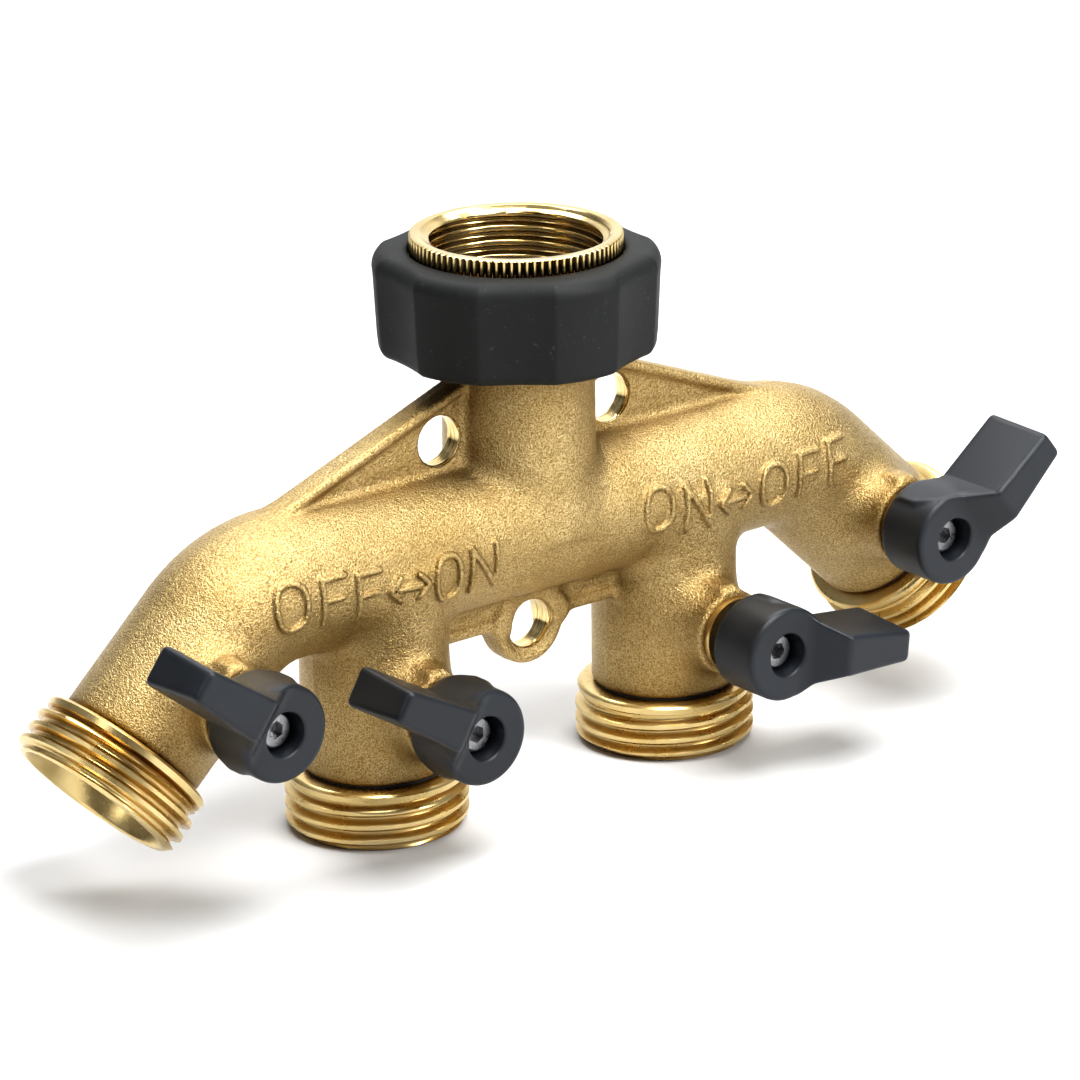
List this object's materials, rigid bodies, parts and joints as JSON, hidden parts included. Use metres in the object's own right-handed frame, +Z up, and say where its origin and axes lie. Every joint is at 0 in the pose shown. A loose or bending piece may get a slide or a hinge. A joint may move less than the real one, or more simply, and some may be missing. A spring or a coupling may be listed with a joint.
{
  "type": "hose splitter",
  "caption": "Brass garden hose manifold with a swivel inlet nut in a rubber grip, angled outlet legs, quarter-turn ball valves with levers, and mounting holes.",
  "frame": {"origin": "centre of the inlet thread's outer end, on the nut's axis, 1.6 mm below the nut's rim", "axes": "+Z up along the inlet axis, X along the manifold's tube, -Y the side the levers and stems face"},
  "size_m": [0.1712, 0.0541, 0.0838],
  "materials": {
    "cast_brass": "sand cast",
    "machined_brass": "machined",
    "black_rubber": "matte",
    "grey_rubber": "matte",
    "white_plastic": "satin",
    "lever_grey": "satin",
    "steel": "satin",
    "chrome_ball": "polished"
  },
  "bodies": {
    "manifold": {"manifold_body": "cast_brass", "inlet_tailpiece": "machined_brass", "inlet_washer": "grey_rubber", "filter_screen": "steel", "outlet_fitting_1": "machined_brass", "joint_seal_1": "grey_rubber", "seat_inner_1": "white_plastic", "seat_outer_1": "white_plastic", "gland_bush_1": "machined_brass", "outlet_fitting_2": "machined_brass", "joint_seal_2": "grey_rubber", "seat_inner_2": "white_plastic", "seat_outer_2": "white_plastic", "gland_bush_2": "machined_brass", "outlet_fitting_3": "machined_brass", "joint_seal_3": "grey_rubber", "seat_inner_3": "white_plastic", "seat_outer_3": "white_plastic", "gland_bush_3": "machined_brass", "outlet_fitting_4": "machined_brass", "joint_seal_4": "grey_rubber", "seat_inner_4": "white_plastic", "seat_outer_4": "white_plastic", "gland_bush_4": "machined_brass"},
    "nut": {"swivel_nut": "machined_brass", "nut_grip": "black_rubber"},
    "valve_1": {"lever_1": "lever_grey", "lever_screw_1": "steel", "valve_stem_1": "machined_brass", "valve_ball_1": "chrome_ball", "stem_ring_in_1": "grey_rubber", "stem_ring_out_1": "grey_rubber"},
    "valve_2": {"lever_2": "lever_grey", "lever_screw_2": "steel", "valve_stem_2": "machined_brass", "valve_ball_2": "chrome_ball", "stem_ring_in_2": "grey_rubber", "stem_ring_out_2": "grey_rubber"},
    "valve_3": {"lever_3": "lever_grey", "lever_screw_3": "steel", "valve_stem_3": "machined_brass", "valve_ball_3": "chrome_ball", "stem_ring_in_3": "grey_rubber", "stem_ring_out_3": "grey_rubber"},
    "valve_4": {"lever_4": "lever_grey", "lever_screw_4": "steel", "valve_stem_4": "machined_brass", "valve_ball_4": "chrome_ball", "stem_ring_in_4": "grey_rubber", "stem_ring_out_4": "grey_rubber"}
  },
  "joints": [
    {"name": "nut_spin", "type": "hinge", "parent": "manifold", "child": "nut", "pos_m": [0, 0, -0.008], "axis": [0, 0, 1], "continuous": true},
    {"name": "valve_1_turn", "type": "hinge", "parent": "manifold", "child": "valve_1", "pos_m": [-0.0623, -0.012, -0.05269], "axis": [0, 1, 0], "range_deg": [0, 90]},
    {"name": "valve_2_turn", "type": "hinge", "parent": "manifold", "child": "valve_2", "pos_m": [-0.02725, -0.012, -0.0621], "axis": [0, 1, 0], "range_deg": [-38, 52]},
    {"name": "valve_3_turn", "type": "hinge", "parent": "manifold", "child": "valve_3", "pos_m": [0.02725, -0.012, -0.0621], "axis": [0, -1, 0], "range_deg": [0, 90]},
    {"name": "valve_4_turn", "type": "hinge", "parent": "manifold", "child": "valve_4", "pos_m": [0.0623, -0.012, -0.05269], "axis": [0, -1, 0], "range_deg": [0, 90]}
  ]
}
